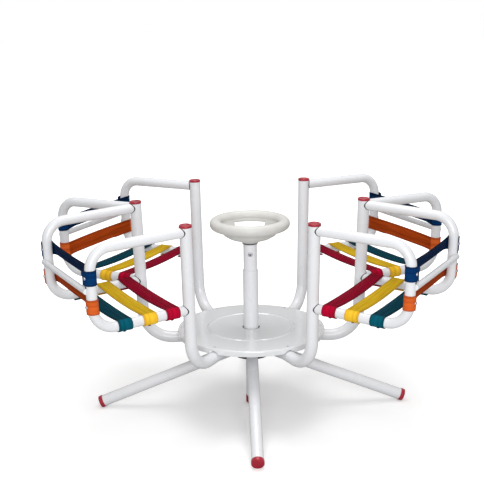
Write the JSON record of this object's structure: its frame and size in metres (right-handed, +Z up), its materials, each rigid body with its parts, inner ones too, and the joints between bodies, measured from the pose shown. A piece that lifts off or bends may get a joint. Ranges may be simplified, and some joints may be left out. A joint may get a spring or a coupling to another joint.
{
  "type": "playground roundabout",
  "caption": "Garden roundabout with sling seats on a turning tube frame, a round foot plate and a fixed central wheel on a sloping-legged base.",
  "frame": {"origin": "on the ground under the central post, on the turning axis", "axes": "+Z up along the turning axis; +X to the right and +Y to the back as the picture sees it, with the left and right uprights on the X axis at rest"},
  "size_m": [1.3162, 1.0448, 0.7102],
  "materials": {
    "white_paint": "white powder coat, semi-gloss",
    "plate_paint": "pale grey-white powder coat, satin",
    "black_hub": "matte black",
    "wheel_plastic": "warm off-white moulded plastic, satin",
    "red_cap": "dark crimson moulded plastic, satin",
    "strap_red": "crimson synthetic webbing with a slight sheen",
    "strap_yellow": "yellow synthetic webbing with a slight sheen",
    "strap_teal": "dark teal synthetic webbing with a slight sheen",
    "strap_blue": "navy blue synthetic webbing with a slight sheen",
    "strap_orange": "burnt orange synthetic webbing with a slight sheen"
  },
  "bodies": {
    "base": {"base_hub": "black_hub", "lower_column": "white_paint", "column_cap": "red_cap", "post_sleeve": "white_paint", "post_tube": "white_paint", "steering_wheel": "wheel_plastic", "leg_right": "white_paint", "foot_cap_right": "red_cap", "leg_back": "white_paint", "foot_cap_back": "red_cap", "leg_left": "white_paint", "foot_cap_left": "red_cap", "leg_front": "white_paint", "foot_cap_front": "red_cap"},
    "turning_frame": {"platform": "plate_paint", "upright_right": "white_paint", "upright_cap_right": "red_cap", "upright_back_right": "white_paint", "upright_cap_back_right": "red_cap", "upright_back_left": "white_paint", "upright_cap_back_left": "red_cap", "upright_left": "white_paint", "upright_cap_left": "red_cap", "upright_front_left": "white_paint", "upright_cap_front_left": "red_cap", "upright_front_right": "white_paint", "upright_cap_front_right": "red_cap", "loop_front_left_corner": "white_paint", "loop_front_left_side": "white_paint", "crossbar_front_left": "white_paint", "seat_strap_front_left_red": "strap_red", "seat_strap_front_left_yellow": "strap_yellow", "seat_strap_front_left_teal": "strap_teal", "back_strap_front_left_blue": "strap_blue", "back_strap_front_left_orange": "strap_orange", "loop_back_left_corner": "white_paint", "loop_back_left_side": "white_paint", "crossbar_back_left": "white_paint", "seat_strap_back_left_red": "strap_red", "seat_strap_back_left_yellow": "strap_yellow", "seat_strap_back_left_teal": "strap_teal", "back_strap_back_left_blue": "strap_blue", "back_strap_back_left_orange": "strap_orange", "loop_front_right_corner": "white_paint", "loop_front_right_side": "white_paint", "crossbar_front_right": "white_paint", "seat_strap_front_right_red": "strap_red", "seat_strap_front_right_yellow": "strap_yellow", "seat_strap_front_right_teal": "strap_teal", "back_strap_front_right_blue": "strap_blue", "back_strap_front_right_orange": "strap_orange", "loop_back_right_corner": "white_paint", "loop_back_right_side": "white_paint", "crossbar_back_right": "white_paint", "seat_strap_back_right_red": "strap_red", "seat_strap_back_right_yellow": "strap_yellow", "seat_strap_back_right_teal": "strap_teal", "back_strap_back_right_blue": "strap_blue", "back_strap_back_right_orange": "strap_orange"}
  },
  "joints": [
    {"name": "frame_spin", "type": "hinge", "parent": "base", "child": "turning_frame", "pos_m": [0, 0, 0.2248], "axis": [0, 0, 1], "continuous": true}
  ]
}
